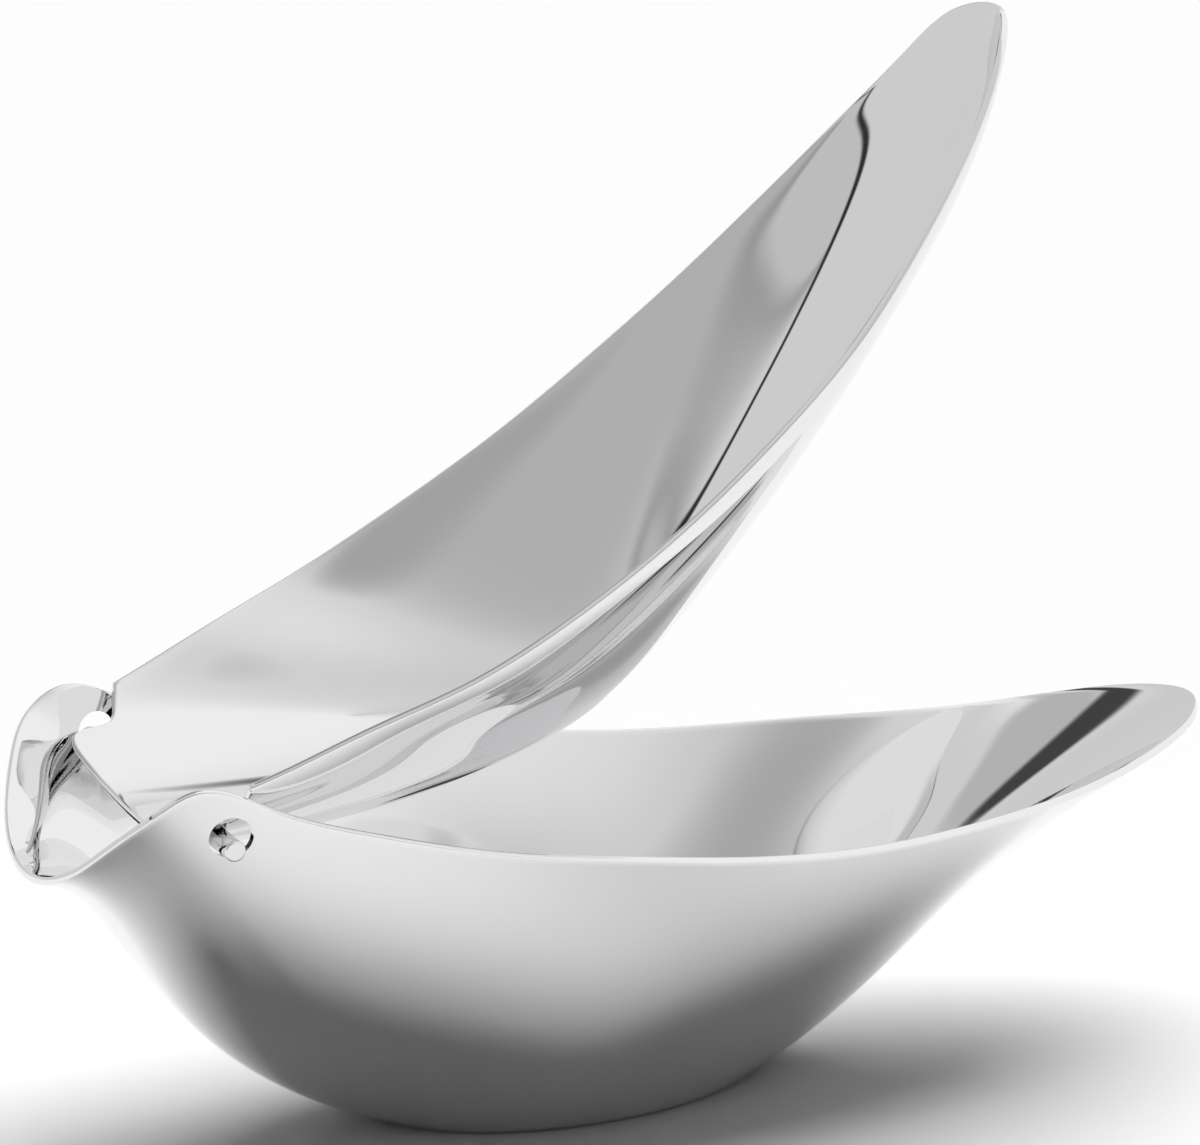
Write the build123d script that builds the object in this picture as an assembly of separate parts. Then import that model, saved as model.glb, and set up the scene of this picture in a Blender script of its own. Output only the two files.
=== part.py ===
from build123d import *
import os
from math import atan2, cos, hypot, radians, sin

# Hinged lemon squeezer, in millimetres. Two boat-shaped steel pressings nest in each other: a bowl
# that stands on its flat base, and a press shell that swings down into it on two welded studs.
# The origin is the centre of the flat base, +X points to the pouring spout and +Z is up.
# Both shells are drawn nested. The press shell and its studs are then swung open to their rest
# position.

SHEET = 1.0                 # thickness of both pressings
OPEN_ANGLE = 39.5           # swing of the press shell from nested to rest, degrees
PIVOT_X = -53.9
PIVOT_Z = 46.9

EAR_HOLE_RADIUS = 2.6       # loose holes in the ears: the studs hang low in them
EAR_HOLE_X = -53.8
EAR_HOLE_Z = 48.1
STUD_RADIUS = 1.3
STUD_END_Y = 26.0           # outer face of a stud, just proud of its ear
STUD_CHAMFER = 0.25

# Rim stations from the spout tip, along one side, to the middle of the rear: x, half width, height,
# the lean of the wall from the vertical, in degrees, and how far down the wall that lean reaches.
BOWL_RIM = (
    (93.0, 0.0, 40.9, 62, 34.8),
    (89.9, 7.0, 40.3, 65, 33.6),
    (81.7, 13.3, 38.8, 65, 30.6),
    (67.9, 19.6, 37.0, 55, 26.2),
    (48.7, 25.8, 36.4, 43, 21.7),
    (31.5, 29.0, 36.4, 34, 18.7),
    (15.8, 30.4, 37.5, 27, 17.2),
    (-4.4, 31.3, 40.5, 21, 17.4),
    (-22.1, 30.3, 43.5, 16, 18.4),
    (-38.1, 28.0, 47.5, 13, 18.5),
    (-49.1, 26.0, 51.3, 15, 17.5),
    (-58.5, 24.9, 54.3, 28, 17.0),
    (-62.7, 24.0, 52.0, 42, 17.5),
    (-66.8, 19.4, 47.3, 50, 16.0),
    (-70.0, 12.2, 41.7, 67, 14.0),
    (-71.7, 0.0, 38.4, 82, 14.5),
)
PRESS_RIM = (
    (91.7, 0.0, 42.9, 51, 14.3),
    (89.3, 6.6, 43.0, 46, 14.1),
    (81.9, 12.2, 41.1, 40, 13.1),
    (72.1, 16.6, 38.9, 41, 11.9),
    (59.9, 20.6, 36.9, 43, 10.4),
    (44.3, 24.6, 35.2, 40, 8.7),
    (27.7, 27.0, 35.1, 25, 7.1),
    (12.4, 28.3, 35.9, 22, 6.3),
    (-6.8, 29.2, 38.7, 20, 6.7),
    (-20.8, 28.6, 42.0, 17, 8.0),
    (-33.4, 26.6, 46.2, 14, 9.4),
    (-44.9, 24.9, 49.8, 12, 11.0),
    (-56.1, 21.5, 53.3, 17, 12.4),
    (-66.1, 12.0, 54.5, 29, 13.0),
    (-69.1, 0.0, 55.0, 32, 13.0),
)
# The oval bottom of each shell: centre x, half length, half width, height, and rise per millimetre
# of length.
BOWL_BOTTOM = (0.0, 25.4, 14.75, 0.0, 0.0)
PRESS_BOTTOM = (3.4, 13.0, 6.0, 15.8, 0.15)
# How a wall leaves its bottom, each given at the front, side and rear: its slope above level, in
# degrees, and how far that slope reaches as a share of the wall's straight height.
BOWL_WALL = {"slope": (46, 55, 19), "reach": (0.42, 0.50, 0.59)}
PRESS_WALL = {"slope": (15, 18, 11), "reach": (0.22, 0.25, 0.22)}

WALL_SHARES = (0.0, 0.12, 0.26, 0.4, 0.55, 0.7, 0.85, 1.0)   # section rings up a wall

# Side view of the metal trimmed off the open press shell's rear: x, height and corner radius. The
# side walls end at the first two corners, then a shoulder runs back to the tongue, whose end slants
# down to the foot point.
TRIM_CORNERS = (
    (-51.2, 54.0, 1.0),
    (-52.2, 49.2, 2.0),
    (-59.2, 48.9, 1.6),
)
TRIM_FOOT = (-53.0, 37.0)
TRIM_TOP = 70.0
TRIM_REAR = -95.0
TRIM_HALF_WIDTH = 40.0


def around(front_side_rear, turn):
    """A value that changes from the front, over the sides, to the rear."""
    front, side, rear = front_side_rear
    value = side + (front - side) * max(cos(turn), 0) ** 2
    return value + (rear - side) * max(-cos(turn), 0) ** 2


def full_rim(half_rim):
    """The stations of one side and of its mirror image, once round from the spout tip."""
    right = [(x, -y, z, *shape) for x, y, z, *shape in half_rim]
    return right + list(half_rim[-2:0:-1])


def rib(station, half_rim, bottom, wall):
    """The four control points of the wall's section curve that ends at a rim station."""
    x, y, z, lean, lean_reach = station
    front_x, rear_x = half_rim[0][0], half_rim[-1][0]
    half_width = max(place[1] for place in half_rim)
    middle, half_span = (front_x + rear_x) / 2, (front_x - rear_x) / 2
    turn = atan2(y / half_width, (x - middle) / half_span)

    centre_x, half_length, half_breadth, height, rise = bottom
    along = half_length * cos(turn)
    foot = Vector(centre_x + along, half_breadth * sin(turn), height + along * rise)
    rim = Vector(x, y, z)
    foot_reach = (rim - foot).length * around(wall["reach"], turn)
    out = Vector(rim.X - foot.X, rim.Y - foot.Y, 0).normalized()
    slope, tilt = radians(around(wall["slope"], turn)), radians(lean)
    low = foot + (out * cos(slope) + Vector(0, 0, sin(slope))) * foot_reach
    high = rim - (out * sin(tilt) + Vector(0, 0, cos(tilt))) * lean_reach
    return foot, low, high, rim


def rib_point(points, share):
    a, b, c, d = points
    rest = 1 - share
    return a * rest**3 + b * (3 * rest**2 * share) + c * (3 * rest * share**2) + d * share**3


def rib_direction(points, share):
    a, b, c, d = points
    rest = 1 - share
    return ((b - a) * rest**2 + (c - b) * (2 * rest * share) + (d - c) * share**2).normalized()


def wall_normals(ribs, share):
    """Unit normals into the shell, round the ring at a share of the wall's height."""
    ring = [rib_point(points, share) for points in ribs]
    normals = []
    for index, here in enumerate(ring):
        back = here - ring[index - 1]
        ahead = ring[(index + 1) % len(ring)] - here
        around_wall = back * (ahead.length / back.length) + ahead * (back.length / ahead.length)
        normals.append(around_wall.cross(rib_direction(ribs[index], share)).normalized())
    return ring, normals


def inner_ring(ribs, share, bottom_normal):
    """The ring one sheet inside the wall; at its foot, the mitre with the bottom's inner face."""
    ring, normals = wall_normals(ribs, share)
    if share > 0:
        return [point + normal * SHEET for point, normal in zip(ring, normals)]
    mitres = [(normal + bottom_normal) / (1 + normal.dot(bottom_normal)) for normal in normals]
    return [point + mitre * SHEET for point, mitre in zip(ring, mitres)]


def ring_wire(points, knots):
    return Wire([Edge.make_spline(points, periodic=True, parameters=knots)])


def rim_knots(half_rim):
    """Distances round the rim at its stations, shared by all rings so that they line up."""
    places = [Vector(*station[:3]) for station in full_rim(half_rim)]
    knots = [0.0]
    for here, ahead in zip(places, places[1:] + places[:1]):
        knots.append(knots[-1] + (ahead - here).length)
    return knots


def pressing(half_rim, bottom, wall):
    """A sheet pressing: an oval bottom, a wall that swells up to the rim, and one sheet thick."""
    ribs = [rib(station, half_rim, bottom, wall) for station in full_rim(half_rim)]
    knots = rim_knots(half_rim)
    bottom_normal = Vector(-bottom[-1], 0, 1).normalized()
    outer = [ring_wire([rib_point(points, share) for points in ribs], knots)
             for share in WALL_SHARES]
    inner = [ring_wire(inner_ring(ribs, share, bottom_normal), knots) for share in WALL_SHARES]
    faces = [
        *Shell.make_loft(outer).faces(),
        *Shell.make_loft(inner).faces(),
        *Shell.make_loft([outer[-1], inner[-1]], ruled=True).faces(),
        Face(outer[0]),
        Face(inner[0]),
    ]
    return Solid(Shell(faces))


def cross_rod(radius, x, z, near_y, far_y):
    """A round rod along Y."""
    length = far_y - near_y
    return Pos(x, (near_y + far_y) / 2, z) * Rot(90, 0, 0) * Cylinder(radius, length)


def swing(shape, angle):
    """Turn a shape about the pivot; a positive angle opens."""
    return shape.rotate(Axis((PIVOT_X, 0, PIVOT_Z), (0, -1, 0)), angle)


def rear_trim():
    corners = [(x, z) for x, z, radius in TRIM_CORNERS]
    radii = [radius for x, z, radius in TRIM_CORNERS]
    top = (corners[0][0], TRIM_TOP)
    path = FilletPolyline(top, *corners, TRIM_FOOT, radius=radii)
    back = Polyline(TRIM_FOOT, (TRIM_REAR, TRIM_FOOT[1]), (TRIM_REAR, TRIM_TOP), top)
    outline = Plane.XZ * make_face(path.edges() + back.edges())
    return extrude(outline, amount=TRIM_HALF_WIDTH, both=True)


def lower_shell():
    holes = cross_rod(EAR_HOLE_RADIUS, EAR_HOLE_X, EAR_HOLE_Z, -TRIM_HALF_WIDTH, TRIM_HALF_WIDTH)
    return pressing(BOWL_RIM, BOWL_BOTTOM, BOWL_WALL) - holes


def upper_shell():
    return swing(pressing(PRESS_RIM, PRESS_BOTTOM, PRESS_WALL), OPEN_ANGLE) - rear_trim()


def stud(press, side):
    """A stud from its ear's outer face to the press shell's outer wall, to which it is welded."""
    rod = cross_rod(STUD_RADIUS, PIVOT_X, PIVOT_Z, 0, STUD_END_Y)
    rod = chamfer(rod.edges().sort_by(Axis.Y)[-1], STUD_CHAMFER)
    if side < 0:
        rod = mirror(rod, Plane.XZ)
    pieces = (rod - press).solids()
    return pieces.sort_by(Axis.Y)[-1 if side > 0 else 0]


def export(shape, node):
    export_step(shape, f"parts/{node}.step")


os.makedirs("parts", exist_ok=True)
press_shell = upper_shell()
export(lower_shell(), "lower_shell")
export(press_shell, "upper_shell")
export(stud(press_shell, 1), "pivot_stud_left")
export(stud(press_shell, -1), "pivot_stud_right")
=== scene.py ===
import math

import bmesh
import bpy
import numpy as np
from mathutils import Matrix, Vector


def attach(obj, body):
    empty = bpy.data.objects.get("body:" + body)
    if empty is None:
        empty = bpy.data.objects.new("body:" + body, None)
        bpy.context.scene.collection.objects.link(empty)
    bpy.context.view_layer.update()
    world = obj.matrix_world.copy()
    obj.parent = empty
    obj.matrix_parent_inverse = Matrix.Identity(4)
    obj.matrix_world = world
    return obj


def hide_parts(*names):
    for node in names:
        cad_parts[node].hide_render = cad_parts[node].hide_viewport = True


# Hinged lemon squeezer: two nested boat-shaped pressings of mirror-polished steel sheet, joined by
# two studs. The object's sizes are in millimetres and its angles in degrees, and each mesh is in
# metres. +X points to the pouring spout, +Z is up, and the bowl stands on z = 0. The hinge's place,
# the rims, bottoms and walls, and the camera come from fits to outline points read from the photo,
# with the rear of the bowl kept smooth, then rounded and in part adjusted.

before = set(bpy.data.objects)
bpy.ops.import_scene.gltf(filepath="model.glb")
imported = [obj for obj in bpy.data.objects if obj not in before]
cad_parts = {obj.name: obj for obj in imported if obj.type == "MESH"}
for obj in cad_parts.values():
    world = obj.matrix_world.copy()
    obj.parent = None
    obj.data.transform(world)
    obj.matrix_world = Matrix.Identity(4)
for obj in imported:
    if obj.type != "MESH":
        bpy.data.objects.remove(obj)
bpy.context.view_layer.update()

MM = 0.001
SHEET = 1.0                 # thickness of both pressings
OPEN_ANGLE = 39.5           # swing of the press shell from nested, as it is drawn, to rest
PIVOT = (-53.9, 46.9)       # x and height of the studs' axis

EAR_HOLE_RADIUS = 2.6
EAR_HOLE = (-53.8, 48.1)    # x and height
DRILL_END_Y = 40.0          # the drill reaches past both ears
STUD_RADIUS = 1.3
STUD_END_Y = 26.0           # outer face of a stud
STUD_ROOT_Y = 17.6          # a stud's root, before it is laid on the press shell's wall
STUD_EDGE = 0.3             # rounding of a stud's outer edge
STUD_EDGE_STEPS = 5
WELD_DEPTH = 0.4            # how far a stud's root sits in the sheet
TURNS = 96                  # steps round a stud or an ear hole

# From the spout tip to the middle of the rear: x, half width, height, the wall's lean from the
# vertical and how far down the wall that lean reaches. Below the spout the bowl's wall is up to
# 4.1 mm off the CAD solid's, fuller as in the photo. The rim is the same.
BOWL_RIM = (
    (93.0, 0.0, 40.9, 71.4, 42.0),
    (89.9, 7.0, 40.3, 70.7, 39.7),
    (81.7, 13.3, 38.8, 68.1, 33.5),
    (67.9, 19.6, 37.0, 59.7, 27.8),
    (48.7, 25.8, 36.4, 45.3, 22.5),
    (31.5, 29.0, 36.4, 35.7, 19.2),
    (15.8, 30.4, 37.5, 27.5, 17.5),
    (-4.4, 31.3, 40.5, 21, 17.4),
    (-22.1, 30.3, 43.5, 16, 18.4),
    (-38.1, 28.0, 47.5, 13, 18.5),
    (-49.1, 26.0, 51.3, 15, 17.5),
    (-58.5, 24.9, 54.3, 28, 17.0),
    (-62.7, 24.0, 52.0, 42, 17.5),
    (-66.8, 19.4, 47.3, 50, 16.0),
    (-70.0, 12.2, 41.7, 67, 14.0),
    (-71.7, 0.0, 38.4, 82, 14.5),
)
PRESS_RIM = (
    (91.7, 0.0, 42.9, 51, 14.3),
    (89.3, 6.6, 43.0, 46, 14.1),
    (81.9, 12.2, 41.1, 40, 13.1),
    (72.1, 16.6, 38.9, 41, 11.9),
    (59.9, 20.6, 36.9, 43, 10.4),
    (44.3, 24.6, 35.2, 40, 8.7),
    (27.7, 27.0, 35.1, 25, 7.1),
    (12.4, 28.3, 35.9, 22, 6.3),
    (-6.8, 29.2, 38.7, 20, 6.7),
    (-20.8, 28.6, 42.0, 17, 8.0),
    (-33.4, 26.6, 46.2, 14, 9.4),
    (-44.9, 24.9, 49.8, 12, 11.0),
    (-56.1, 21.5, 53.3, 17, 12.4),
    (-66.1, 12.0, 54.5, 29, 13.0),
    (-69.1, 0.0, 55.0, 32, 13.0),
)
# The oval bottoms: centre x, half length, half width, height, and rise per millimetre of length.
BOWL_BOTTOM = (0.0, 25.4, 14.75, 0.0, 0.0)
PRESS_BOTTOM = (3.4, 13.0, 6.0, 15.8, 0.15)
# How a wall leaves its bottom, each given at the front, side and rear: its slope above level, and
# how far that slope reaches as a share of the straight line from the wall's foot to its rim.
BOWL_WALL = {"slope": (13.2, 55, 19), "reach": (0.234, 0.50, 0.59)}
PRESS_WALL = {"slope": (15, 18, 11), "reach": (0.22, 0.25, 0.22)}

# The cut rear of the open press shell in side view: x, height and corner radius of each corner. The
# cut runs from above the shell to the foot point. What lies behind it, down to the foot point's
# height, is taken away.
TRIM_CORNERS = ((-51.2, 54.0, 1.0), (-52.2, 49.2, 2.0), (-59.2, 48.9, 1.6))
TRIM_FOOT = (-53.0, 37.0)
TRIM_TOP = 70.0
TRIM_REAR = -200.0
TRIM_CORNER_STEPS = 8
TRIM_TRIES = 80             # steps up a rib in search of the cut
TRIM_HALVINGS = 24          # halvings of the step that holds the cut

RIBS = 480                  # ribs round each shell
WALL_STEPS = 56             # steps up each wall
BOTTOM_STEPS = 10           # steps from a bottom's middle to its bend
BEND_STEPS = 4              # steps round the bend at a bottom's edge
EDGE_STEPS = 8              # steps round the sheet's edge at the rim
BEND_REACH = 0.9            # how far the bend at the bottom's edge eats into wall and bottom
EDGE_ROUND = 0.28           # how far the rim's rounding reaches down the sheet
EDGE_SQUARENESS = 0.7       # 1 rounds the rim as an oval, and less makes it squarer
BOWL_CRISP_ANGLE = 40       # edges sharper than this break the smooth shading
PRESS_CRISP_ANGLE = 60

STEEL_TINT = (0.84, 0.84, 0.845)
STEEL_ROUGHNESS = (0.02, 0.05)
STUD_TINT = (0.78, 0.78, 0.785)
STUD_ROUGHNESS = (0.10, 0.2)
HAZE_SCALE = 70.0           # polishing haze, in patches per metre
HAZE_DETAIL = 6.0
HAZE_FINENESS = 0.65
HAZE_RANGE = (0.35, 0.7)    # the noise values that give the lowest and highest roughness
RIPPLE_SCALE = 60.0         # waviness of the polish, in waves per metre
RIPPLE_DETAIL = 1.0
RIPPLE_STRENGTH = 0.05
RIPPLE_HEIGHT = 0.0004      # in metres


# ---------------------------------------------------------------- the pressings

def periodic_spline(knots, values, at):
    """A closed cubic spline through the values at the knots, evaluated at the given places."""
    values = np.asarray(values, float)
    steps = np.diff(knots)
    count = len(steps)
    matrix = np.zeros((count, count))
    right = np.zeros((count, values.shape[1]))
    slopes = np.diff(np.vstack([values, values[:1]]), axis=0) / steps[:, None]
    for i in range(count):
        before = steps[i - 1]
        matrix[i, i - 1] += before
        matrix[i, i] += 2 * (before + steps[i])
        matrix[i, (i + 1) % count] += steps[i]
        right[i] = 6 * (slopes[i] - slopes[i - 1])
    bends = np.linalg.solve(matrix, right)
    span = np.clip(np.searchsorted(knots, at, side="right") - 1, 0, count - 1)
    after = (span + 1) % count
    step = steps[span][:, None]
    left = (np.asarray(knots)[span] + steps[span] - at)[:, None]
    past = (at - np.asarray(knots)[span])[:, None]
    return (
        bends[span] * left**3 / (6 * step)
        + bends[after] * past**3 / (6 * step)
        + (values[span] / step - bends[span] * step / 6) * left
        + (values[after] / step - bends[after] * step / 6) * past
    )


def rim_stations(half_rim):
    """Rim places, leans and reaches at every rib, once round from the spout tip."""
    side = [(x, -y, z, *shape) for x, y, z, *shape in half_rim]
    ring = np.array(side + list(half_rim[-2:0:-1]), float)
    gaps = np.linalg.norm(np.diff(np.vstack([ring, ring[:1]])[:, :3], axis=0), axis=1)
    knots = np.concatenate([[0], np.cumsum(gaps)])
    at = np.linspace(0, knots[-1], RIBS, endpoint=False)
    return periodic_spline(knots, ring, at)


def around(front_side_rear, turn):
    """A value that changes from the front, over the sides, to the rear."""
    front, side, rear = front_side_rear
    ahead = np.maximum(np.cos(turn), 0) ** 2
    behind = np.maximum(-np.cos(turn), 0) ** 2
    return (side + (front - side) * ahead + (rear - side) * behind)[:, None]


def wall_ribs(half_rim, bottom, wall):
    """The four control points of every rib, each an array of places."""
    stations = rim_stations(half_rim)
    rim, lean, lean_reach = stations[:, :3], np.radians(stations[:, 3:4]), stations[:, 4:]
    front_x, rear_x = half_rim[0][0], half_rim[-1][0]
    half_width = max(place[1] for place in half_rim)
    middle, half_span = (front_x + rear_x) / 2, (front_x - rear_x) / 2
    turn = np.arctan2(rim[:, 1] / half_width, (rim[:, 0] - middle) / half_span)
    centre_x, half_length, half_breadth, height, rise = bottom
    along = half_length * np.cos(turn)
    foot = np.stack([centre_x + along, half_breadth * np.sin(turn), height + along * rise], 1)
    foot_reach = np.linalg.norm(rim - foot, axis=1)[:, None] * around(wall["reach"], turn)
    out = (rim - foot) * (1, 1, 0)
    out /= np.linalg.norm(out, axis=1)[:, None]
    slope = np.radians(around(wall["slope"], turn))
    up = np.array((0.0, 0.0, 1.0))
    low = foot + (out * np.cos(slope) + up * np.sin(slope)) * foot_reach
    high = rim - (out * np.sin(lean) + up * np.cos(lean)) * lean_reach
    return foot, low, high, rim


def rib_points(ribs, shares):
    """Places up every rib. Shares has a row for each rib and a column for each place."""
    a, b, c, d = (control[:, None, :] for control in ribs)
    s = shares[:, :, None]
    r = 1 - s
    return a * r**3 + 3 * b * r**2 * s + 3 * c * r * s**2 + d * s**3


def surface_normals(grid):
    """Unit normals of a grid that closes on itself along its first axis, on the hollow side."""
    around_step = np.roll(grid, -1, 0) - np.roll(grid, 1, 0)
    up_step = np.gradient(grid, axis=1)
    normal = np.cross(around_step, up_step)
    return normal / np.linalg.norm(normal, axis=2, keepdims=True)


def swing(places, angle):
    """Places turned about the pivot; a positive angle opens the press shell."""
    turn = math.radians(angle)
    x, z = places[..., 0] - PIVOT[0], places[..., 2] - PIVOT[1]
    turned = places.copy()
    turned[..., 0] = PIVOT[0] + math.cos(turn) * x - math.sin(turn) * z
    turned[..., 2] = PIVOT[1] + math.sin(turn) * x + math.cos(turn) * z
    return turned


def trim_line():
    """The rounded side-view line along which the press shell's rear is cut."""
    corners = [(TRIM_CORNERS[0][0], TRIM_TOP)] + [c[:2] for c in TRIM_CORNERS] + [TRIM_FOOT]
    line = [np.array(corners[0])]
    for index, (x, z, radius) in enumerate(TRIM_CORNERS):
        here = np.array((x, z))
        before = np.array(corners[index]) - here
        after = np.array(corners[index + 2]) - here
        before /= np.linalg.norm(before)
        after /= np.linalg.norm(after)
        half = math.acos(np.clip(before @ after, -1, 1)) / 2
        reach = radius / math.tan(half)
        for share in np.linspace(0, 1, TRIM_CORNER_STEPS + 1):
            blend = (1 - share) ** 2 * before + share**2 * after
            line.append(here + blend * reach)
    line.append(np.array(TRIM_FOOT))
    return np.array(line)


def is_cut(places):
    """Which places of the open press shell lie behind the trim line, in side view."""
    line = trim_line()
    outline = np.vstack([line, (TRIM_REAR, TRIM_FOOT[1]), (TRIM_REAR, TRIM_TOP)])
    x, z = places[..., 0], places[..., 2]
    inside = np.zeros(x.shape, bool)
    for (x0, z0), (x1, z1) in zip(outline, np.roll(outline, -1, 0)):
        if z0 == z1:
            continue
        crosses = ((z0 > z) != (z1 > z)) & (x < (x1 - x0) * (z - z0) / (z1 - z0) + x0)
        inside ^= crosses
    return inside


def trimmed_shares(ribs):
    """The share of each rib at which it meets the trim line, or 1 where it is never cut."""
    count = len(ribs[0])
    tries = np.linspace(0, 1, TRIM_TRIES + 1)
    cut = is_cut(swing(rib_points(ribs, np.tile(tries, (count, 1))), OPEN_ANGLE))
    first = np.where(cut.any(1), cut.argmax(1), len(tries) - 1)
    low = tries[np.maximum(first - 1, 0)]
    high = np.where(cut.any(1), tries[first], 1.0)
    for _ in range(TRIM_HALVINGS):
        middle = (low + high) / 2
        beyond = is_cut(swing(rib_points(ribs, middle[:, None]), OPEN_ANGLE))[:, 0]
        high = np.where(beyond, middle, high)
        low = np.where(beyond, low, middle)
    return np.where(cut.any(1), low, 1.0)


def bend(corner, flat_side, wall_side):
    """Places round a softened corner, from the flat side to the wall side."""
    shares = np.linspace(0, 1, BEND_STEPS + 1)[None, :, None]
    a, b, c = flat_side[:, None], corner[:, None], wall_side[:, None]
    return a * (1 - shares) ** 2 + 2 * b * shares * (1 - shares) + c * shares**2


def sheet_profile(ribs, ends, bottom):
    """Places along every rib: outer bottom, outer wall, rim edge, inner wall and inner bottom."""
    count = len(ends)
    even = np.linspace(0, 1, WALL_STEPS + 1)[None, :] * ends[:, None]
    outer = rib_points(ribs, even)
    normals = surface_normals(outer)
    inner = outer + normals * SHEET
    flat_normal = np.array((-bottom[-1], 0.0, 1.0))
    flat_normal /= np.linalg.norm(flat_normal)
    mitre = normals[:, 0] + flat_normal
    inner[:, 0] = outer[:, 0] + mitre * SHEET / (1 + normals[:, 0] @ flat_normal)[:, None]

    centre = np.array((bottom[0], 0.0, bottom[3]))
    sides = []
    for wall, middle in ((outer, centre), (inner, centre + flat_normal * SHEET)):
        foot = wall[:, 0]
        inward = middle - foot
        inward /= np.linalg.norm(inward, axis=1)[:, None]
        upward = wall[:, 1] - foot
        upward /= np.linalg.norm(upward, axis=1)[:, None]
        flat_end = foot + inward * BEND_REACH
        shares = np.linspace(0, 1, BOTTOM_STEPS + 1)[1:-1]
        flat = middle + (flat_end - middle)[:, None] * shares[None, :, None]
        corner = bend(foot, flat_end, foot + upward * BEND_REACH)
        sides.append(np.concatenate([flat, corner, wall[:, 2:-1]], axis=1))

    direction = outer[:, -1] - outer[:, -2]
    direction /= np.linalg.norm(direction, axis=1)[:, None]
    turn = np.linspace(0, math.pi, EDGE_STEPS + 1)
    sweep = np.sign(np.cos(turn)) * np.abs(np.cos(turn)) ** EDGE_SQUARENESS
    across = (1 - sweep) / 2 * SHEET
    along = (np.abs(np.sin(turn)) ** EDGE_SQUARENESS - 1) * EDGE_ROUND
    rim, rim_normal = outer[:, -1][:, None], normals[:, -1][:, None]
    edge = rim + rim_normal * across[None, :, None] + direction[:, None] * along[None, :, None]
    return np.concatenate([sides[0], edge, sides[1][:, ::-1]], axis=1), centre, flat_normal


def sheet_mesh(name, half_rim, bottom, wall, is_press):
    """A closed mesh of one pressing, in metres, in the CAD's frame."""
    ribs = wall_ribs(half_rim, bottom, wall)
    ends = trimmed_shares(ribs) if is_press else np.ones(RIBS)
    grid, centre, flat_normal = sheet_profile(ribs, ends, bottom)
    poles = np.array([centre, centre + flat_normal * SHEET])
    if is_press:
        grid = swing(grid, OPEN_ANGLE)
        poles = swing(poles, OPEN_ANGLE)
    rows = grid.shape[1]
    places = np.vstack([grid.reshape(-1, 3), poles]) * MM
    outer_pole, inner_pole = RIBS * rows, RIBS * rows + 1
    faces = []
    for i in range(RIBS):
        here, ahead = i * rows, ((i + 1) % RIBS) * rows
        faces.append((outer_pole, ahead, here))
        faces.append((inner_pole, here + rows - 1, ahead + rows - 1))
        for j in range(rows - 1):
            faces.append((here + j, ahead + j, ahead + j + 1, here + j + 1))
    mesh = bpy.data.meshes.new(name)
    mesh.from_pydata(places.tolist(), [], faces)
    mesh.update()
    for polygon in mesh.polygons:
        polygon.use_smooth = True
    made = bpy.data.objects.new(name, mesh)
    bpy.context.scene.collection.objects.link(made)
    return made


# ---------------------------------------------------------------- studs and holes

def lathe_along_y(name, outline, centre):
    """A turned piece along Y. The outline is a list of (y, radius), closed at both ends."""
    rim = np.linspace(0, 2 * math.pi, TURNS, endpoint=False)
    places, faces = [], []
    for y, radius in outline:
        for angle in rim:
            x = centre[0] + radius * math.cos(angle)
            places.append((x * MM, y * MM, (centre[1] + radius * math.sin(angle)) * MM))
    for ring in range(len(outline) - 1):
        for k in range(TURNS):
            a, b = ring * TURNS + k, ring * TURNS + (k + 1) % TURNS
            faces.append((a, b, b + TURNS, a + TURNS))
    faces.append(tuple(range(TURNS))[::-1])
    last = (len(outline) - 1) * TURNS
    faces.append(tuple(range(last, last + TURNS)))
    mesh = bpy.data.meshes.new(name)
    mesh.from_pydata(places, [], faces)
    mesh.update()
    work = bmesh.new()
    work.from_mesh(mesh)
    bmesh.ops.recalc_face_normals(work, faces=work.faces)
    work.to_mesh(mesh)
    work.free()
    for polygon in mesh.polygons:
        polygon.use_smooth = len(polygon.vertices) == 4
    made = bpy.data.objects.new(name, mesh)
    bpy.context.scene.collection.objects.link(made)
    return made


def cut_ear_holes(shell):
    """Drill both ears in one pass along Y."""
    outline = [(-DRILL_END_Y, EAR_HOLE_RADIUS), (DRILL_END_Y, EAR_HOLE_RADIUS)]
    cutter = lathe_along_y("ear_drill", outline, EAR_HOLE)
    drill = shell.modifiers.new("ear_holes", "BOOLEAN")
    drill.operation = "DIFFERENCE"
    drill.solver = "EXACT"
    drill.object = cutter
    graph = bpy.context.evaluated_depsgraph_get()
    cut = bpy.data.meshes.new_from_object(shell.evaluated_get(graph))
    shell.modifiers.clear()
    shell.data = cut
    bpy.data.objects.remove(cutter)
    mark_sharp(shell, BOWL_CRISP_ANGLE)


def mark_sharp(shell, degrees):
    """Edges sharper than the angle break the smooth shading."""
    work = bmesh.new()
    work.from_mesh(shell.data)
    for edge in work.edges:
        if len(edge.link_faces) == 2:
            edge.smooth = edge.calc_face_angle(0) < math.radians(degrees)
    work.to_mesh(shell.data)
    work.free()


def stud(name, side, press):
    """A plain stud whose root follows the press shell's outer wall and ends inside the sheet."""
    outline = [(side * STUD_ROOT_Y, STUD_RADIUS)]
    for angle in np.linspace(0, math.pi / 2, STUD_EDGE_STEPS + 1):
        y = STUD_END_Y - STUD_EDGE * (1 - math.sin(angle))
        outline.append((side * y, STUD_RADIUS - STUD_EDGE * (1 - math.cos(angle))))
    made = lathe_along_y(name, outline, PIVOT)
    for vertex in made.data.vertices[:TURNS]:
        start = Vector((vertex.co.x, side * STUD_END_Y * MM, vertex.co.z))
        wall = press.ray_cast(start, Vector((0, -side, 0)))[1]
        vertex.co.y = wall.y - side * WELD_DEPTH * MM
    return made


# ---------------------------------------------------------------- materials

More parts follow.
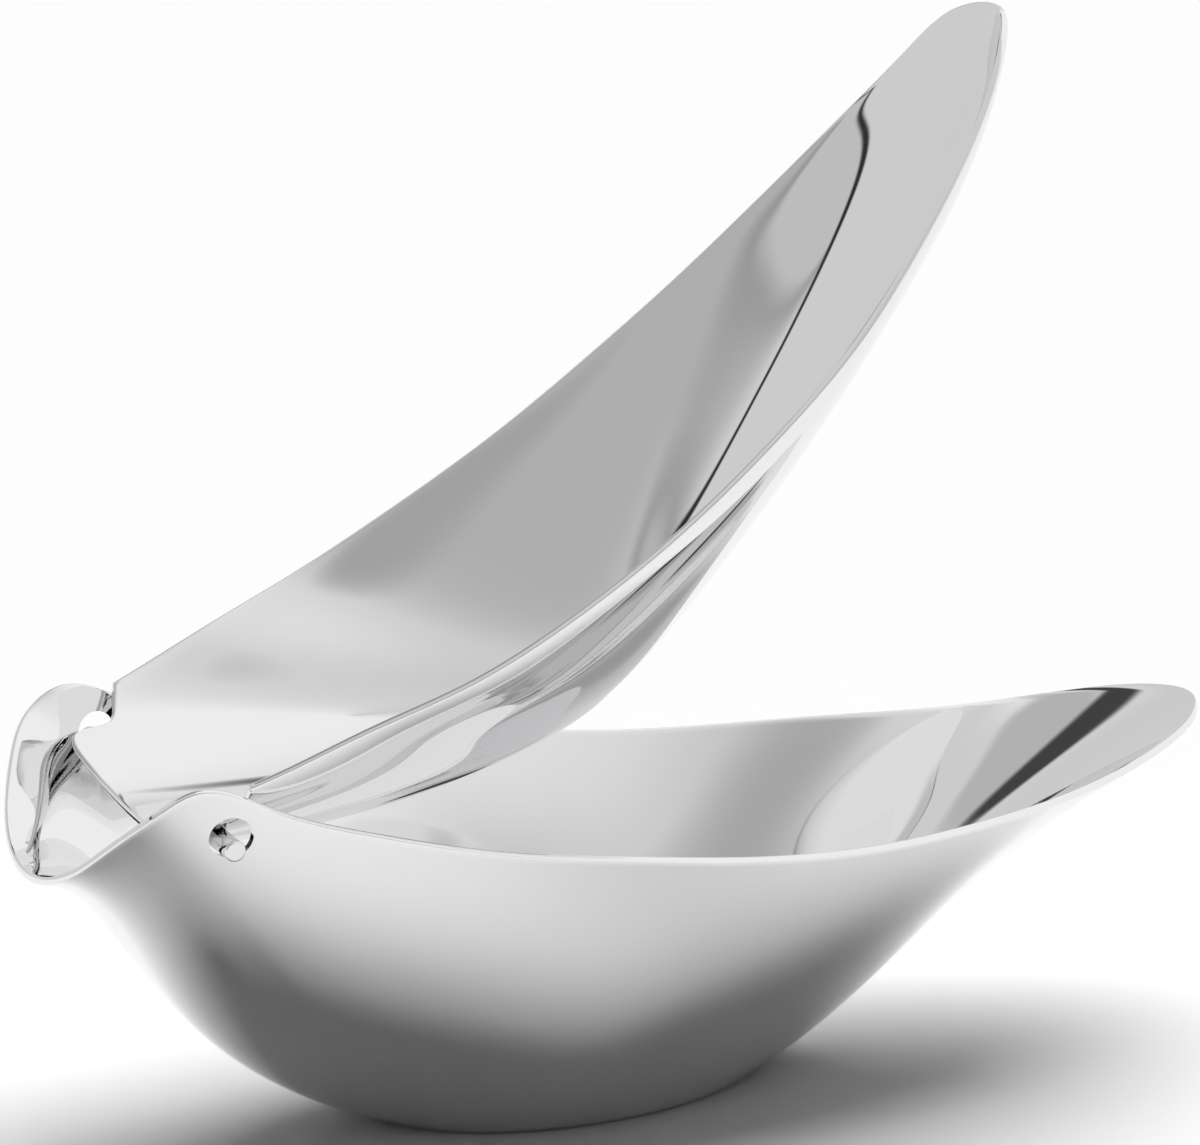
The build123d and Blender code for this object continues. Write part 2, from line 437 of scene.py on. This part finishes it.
def new_material(name):
    material = bpy.data.materials.new(name)
    material.use_nodes = True
    return material, material.node_tree.nodes, material.node_tree.links


def polished_steel(name, tint, roughness):
    """Mirror-polished stainless steel: faint polishing haze and a very shallow waviness."""
    material, nodes, links = new_material(name)
    shader = nodes["Principled BSDF"]
    shader.inputs["Base Color"].default_value = (*tint, 1)
    shader.inputs["Metallic"].default_value = 1.0
    place = nodes.new("ShaderNodeTexCoord")

    haze = nodes.new("ShaderNodeTexNoise")
    haze.inputs["Scale"].default_value = HAZE_SCALE
    haze.inputs["Detail"].default_value = HAZE_DETAIL
    haze.inputs["Roughness"].default_value = HAZE_FINENESS
    links.new(place.outputs["Object"], haze.inputs["Vector"])
    spread = nodes.new("ShaderNodeMapRange")
    spread.inputs["From Min"].default_value, spread.inputs["From Max"].default_value = HAZE_RANGE
    spread.inputs["To Min"].default_value, spread.inputs["To Max"].default_value = roughness
    links.new(haze.outputs["Fac"], spread.inputs["Value"])
    links.new(spread.outputs["Result"], shader.inputs["Roughness"])

    ripple = nodes.new("ShaderNodeTexNoise")
    ripple.inputs["Scale"].default_value = RIPPLE_SCALE
    ripple.inputs["Detail"].default_value = RIPPLE_DETAIL
    links.new(place.outputs["Object"], ripple.inputs["Vector"])
    bump = nodes.new("ShaderNodeBump")
    bump.inputs["Strength"].default_value = RIPPLE_STRENGTH
    bump.inputs["Distance"].default_value = RIPPLE_HEIGHT
    links.new(ripple.outputs["Fac"], bump.inputs["Height"])
    links.new(bump.outputs["Normal"], shader.inputs["Normal"])
    return material


# ---------------------------------------------------------------- the object

def dress(piece, material, body, node):
    """Give a piece its material, and let it ride on its body in place of its CAD node."""
    piece.data.materials.clear()
    piece.data.materials.append(material)
    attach(piece, body)
    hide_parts(node)


steel = polished_steel("polished_steel", STEEL_TINT, STEEL_ROUGHNESS)
stud_steel = polished_steel("stud_steel", STUD_TINT, STUD_ROUGHNESS)

bowl = sheet_mesh("bowl_shell", BOWL_RIM, BOWL_BOTTOM, BOWL_WALL, is_press=False)
cut_ear_holes(bowl)
dress(bowl, steel, "bowl", "lower_shell")
press = sheet_mesh("press_shell", PRESS_RIM, PRESS_BOTTOM, PRESS_WALL, is_press=True)
mark_sharp(press, PRESS_CRISP_ANGLE)
dress(press, steel, "press", "upper_shell")
dress(stud("stud_left", 1, press), stud_steel, "press", "pivot_stud_left")
dress(stud("stud_right", -1, press), stud_steel, "press", "pivot_stud_right")


# ---------------------------------------------------------------- camera, floor and light

CAMERA_AZIMUTH = -25.0
CAMERA_ELEVATION = 15.0
CAMERA_DISTANCE = 0.630     # in metres, as are the next two and the floor's size
CAMERA_TARGET = Vector((0.0055, 0.0, 0.0679))
CAMERA_NEAR = 0.01
LENS = 150.0
SENSOR_WIDTH = 36.0
FLOOR_SIZE = 6.0
FLOOR_WHITE = 0.93
FLOOR_ROUGHNESS = 0.6
TOP_LIGHT = 3.35            # in W per square metre
TOP_LIGHT_SPREAD = 55.0
TOP_LIGHT_TILT = (-18.0, 18.0)      # from behind and from the spout's side
FILL_LIGHT = 0.08           # the studio's light on the floor, as a share of white


def add_camera():
    azimuth, elevation = math.radians(CAMERA_AZIMUTH), math.radians(CAMERA_ELEVATION)
    level = math.cos(elevation)
    back = Vector((math.sin(azimuth) * level, -math.cos(azimuth) * level, math.sin(elevation)))
    camera = bpy.data.objects.new("camera", bpy.data.cameras.new("camera"))
    camera.data.lens = LENS
    camera.data.sensor_width = SENSOR_WIDTH
    camera.data.sensor_fit = "HORIZONTAL"
    camera.data.clip_start = CAMERA_NEAR
    camera.location = CAMERA_TARGET + back * CAMERA_DISTANCE
    camera.rotation_euler = back.to_track_quat("Z", "Y").to_euler()
    bpy.context.scene.collection.objects.link(camera)
    bpy.context.scene.camera = camera


def add_floor():
    bpy.ops.mesh.primitive_plane_add(size=FLOOR_SIZE, location=(0, 0, 0))
    floor = bpy.context.object
    floor.name = "floor"
    material, nodes, _ = new_material("pale_floor")
    shader = nodes["Principled BSDF"]
    shader.inputs["Base Color"].default_value = (FLOOR_WHITE, FLOOR_WHITE, FLOOR_WHITE, 1)
    shader.inputs["Roughness"].default_value = FLOOR_ROUGHNESS
    shader.inputs["Specular IOR Level"].default_value = 0.0
    floor.data.materials.append(material)


def add_top_light():
    """One broad overhead light. The metal sees it as part of the studio, not as a lamp."""
    lamp = bpy.data.lights.new("top_light", "SUN")
    lamp.energy = TOP_LIGHT
    lamp.angle = math.radians(TOP_LIGHT_SPREAD)
    light = bpy.data.objects.new("top_light", lamp)
    light.rotation_euler = (*np.radians(TOP_LIGHT_TILT), 0)
    light.visible_glossy = False
    bpy.context.scene.collection.objects.link(light)


# An invented studio for the metal to reflect, as ovals on the sky: azimuth and elevation of the middle
# (azimuth 0 is in front, towards -Y, and 90 is at the spout's end), half width and half height in
# degrees, brightness, and how soft the edge is. Later ovals cover earlier ones. The rest is white. The
# first eight were fitted to shades read from the photo, then rounded.
STUDIO_FORMS = (
    (-94, 19, 118, 87, 0.86, 0.38),     # the room in front of the set, darker towards its middle
    (-89, 20, 108, 80, 0.71, 0.45),
    (-58, 2, 73, 65, 0.50, 0.35),
    (-12, 39, 17, 16, 0.42, 0.95),      # a soft shade above the camera
    (-102, 0, 53, 42, 0.34, 0.08),      # shade above a large card
    (-102, 0, 51, 40.8, 0.60, 0.03),
    (-118, 0, 61.5, 32.2, 0.03, 0.03),  # the rim and face of a white table
    (-118, 0, 60, 30.4, 0.71, 0.03),
    (-168, 60, 26, 14, 0.52, 0.40),     # the shade behind, with a dark edge below it
    (180, 47, 25, 5, 0.06, 0.50),
    (170, 18, 30, 22, 0.69, 0.50),
)


def add_world():
    """The studio that the metal reflects. The camera sees it white, and the floor sees it dim."""
    world = bpy.data.worlds.new("studio")
    bpy.context.scene.world = world
    world.use_nodes = True
    nodes, links = world.node_tree.nodes, world.node_tree.links

    def step(operation, *values):
        node = nodes.new("ShaderNodeMath")
        node.operation = operation
        for socket, value in zip(node.inputs, values):
            if isinstance(value, (int, float)):
                socket.default_value = value
            else:
                links.new(value, socket)
        return node.outputs[0]

    def blend(share, low, high):
        return step("MULTIPLY_ADD", share, step("SUBTRACT", high, low), low)

    place = nodes.new("ShaderNodeTexCoord")
    axes = nodes.new("ShaderNodeSeparateXYZ")
    links.new(place.outputs["Generated"], axes.inputs["Vector"])
    ahead = step("MULTIPLY", axes.outputs["Y"], -1.0)
    azimuth = step("DEGREES", step("ARCTAN2", axes.outputs["X"], ahead))
    elevation = step("DEGREES", step("ARCSINE", axes.outputs["Z"]))

    brightness = 1.0
    for middle, height, half_width, half_height, shade, softness in STUDIO_FORMS:
        aside = step("WRAP", step("SUBTRACT", azimuth, middle), 180, -180)
        aside = step("DIVIDE", aside, half_width)
        above = step("DIVIDE", step("SUBTRACT", elevation, height), half_height)
        distance = step("ADD", step("MULTIPLY", aside, aside), step("MULTIPLY", above, above))
        edge = nodes.new("ShaderNodeMapRange")
        edge.interpolation_type = "SMOOTHSTEP"
        edge.inputs["From Min"].default_value = 1 + softness
        edge.inputs["From Max"].default_value = 1 - softness
        links.new(distance, edge.inputs["Value"])
        brightness = blend(edge.outputs["Result"], brightness, shade)

    path = nodes.new("ShaderNodeLightPath")
    seen = blend(path.outputs["Is Camera Ray"], brightness, 1.0)
    off_the_floor = step("MINIMUM", path.outputs["Diffuse Depth"], 1)
    seen = blend(off_the_floor, seen, FILL_LIGHT)
    links.new(seen, nodes["Background"].inputs["Strength"])
    nodes["Background"].inputs["Color"].default_value = (1, 1, 1, 1)


add_camera()
add_floor()
add_top_light()
add_world()
bpy.context.scene.view_settings.view_transform = "Standard"
